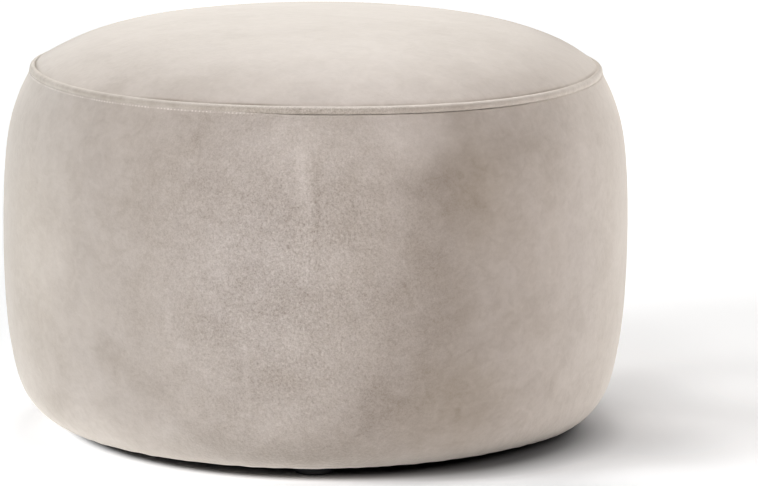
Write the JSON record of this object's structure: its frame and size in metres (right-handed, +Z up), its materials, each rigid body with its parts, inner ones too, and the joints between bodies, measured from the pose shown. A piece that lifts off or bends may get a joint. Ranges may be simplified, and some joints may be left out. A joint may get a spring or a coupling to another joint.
{
  "type": "round upholstered pouf",
  "caption": "Round filled velvet pouf with a crowned top, a piped top seam, a bulging side drawn in at seam and base, and low round glides under it.",
  "frame": {"origin": "on the floor, under the middle of the pouf", "axes": "+Z up, through the crown of the top; -Y towards the viewer, the side opposite the closing seam"},
  "size_m": [0.62, 0.62, 0.4065],
  "materials": {
    "velvet": "short-pile velvet, greige beige, softly mottled nap",
    "piping_velvet": "the same velvet wrapped round a cord",
    "base_cloth": "dark non-woven cloth, dull",
    "glides": "moulded black plastic, satin"
  },
  "bodies": {
    "root": {"side_panel": "velvet", "top_panel": "velvet", "piping": "piping_velvet", "base_cloth": "base_cloth", "foot_front": "glides", "foot_right": "glides", "foot_back": "glides", "foot_left": "glides"}
  },
  "joints": []
}
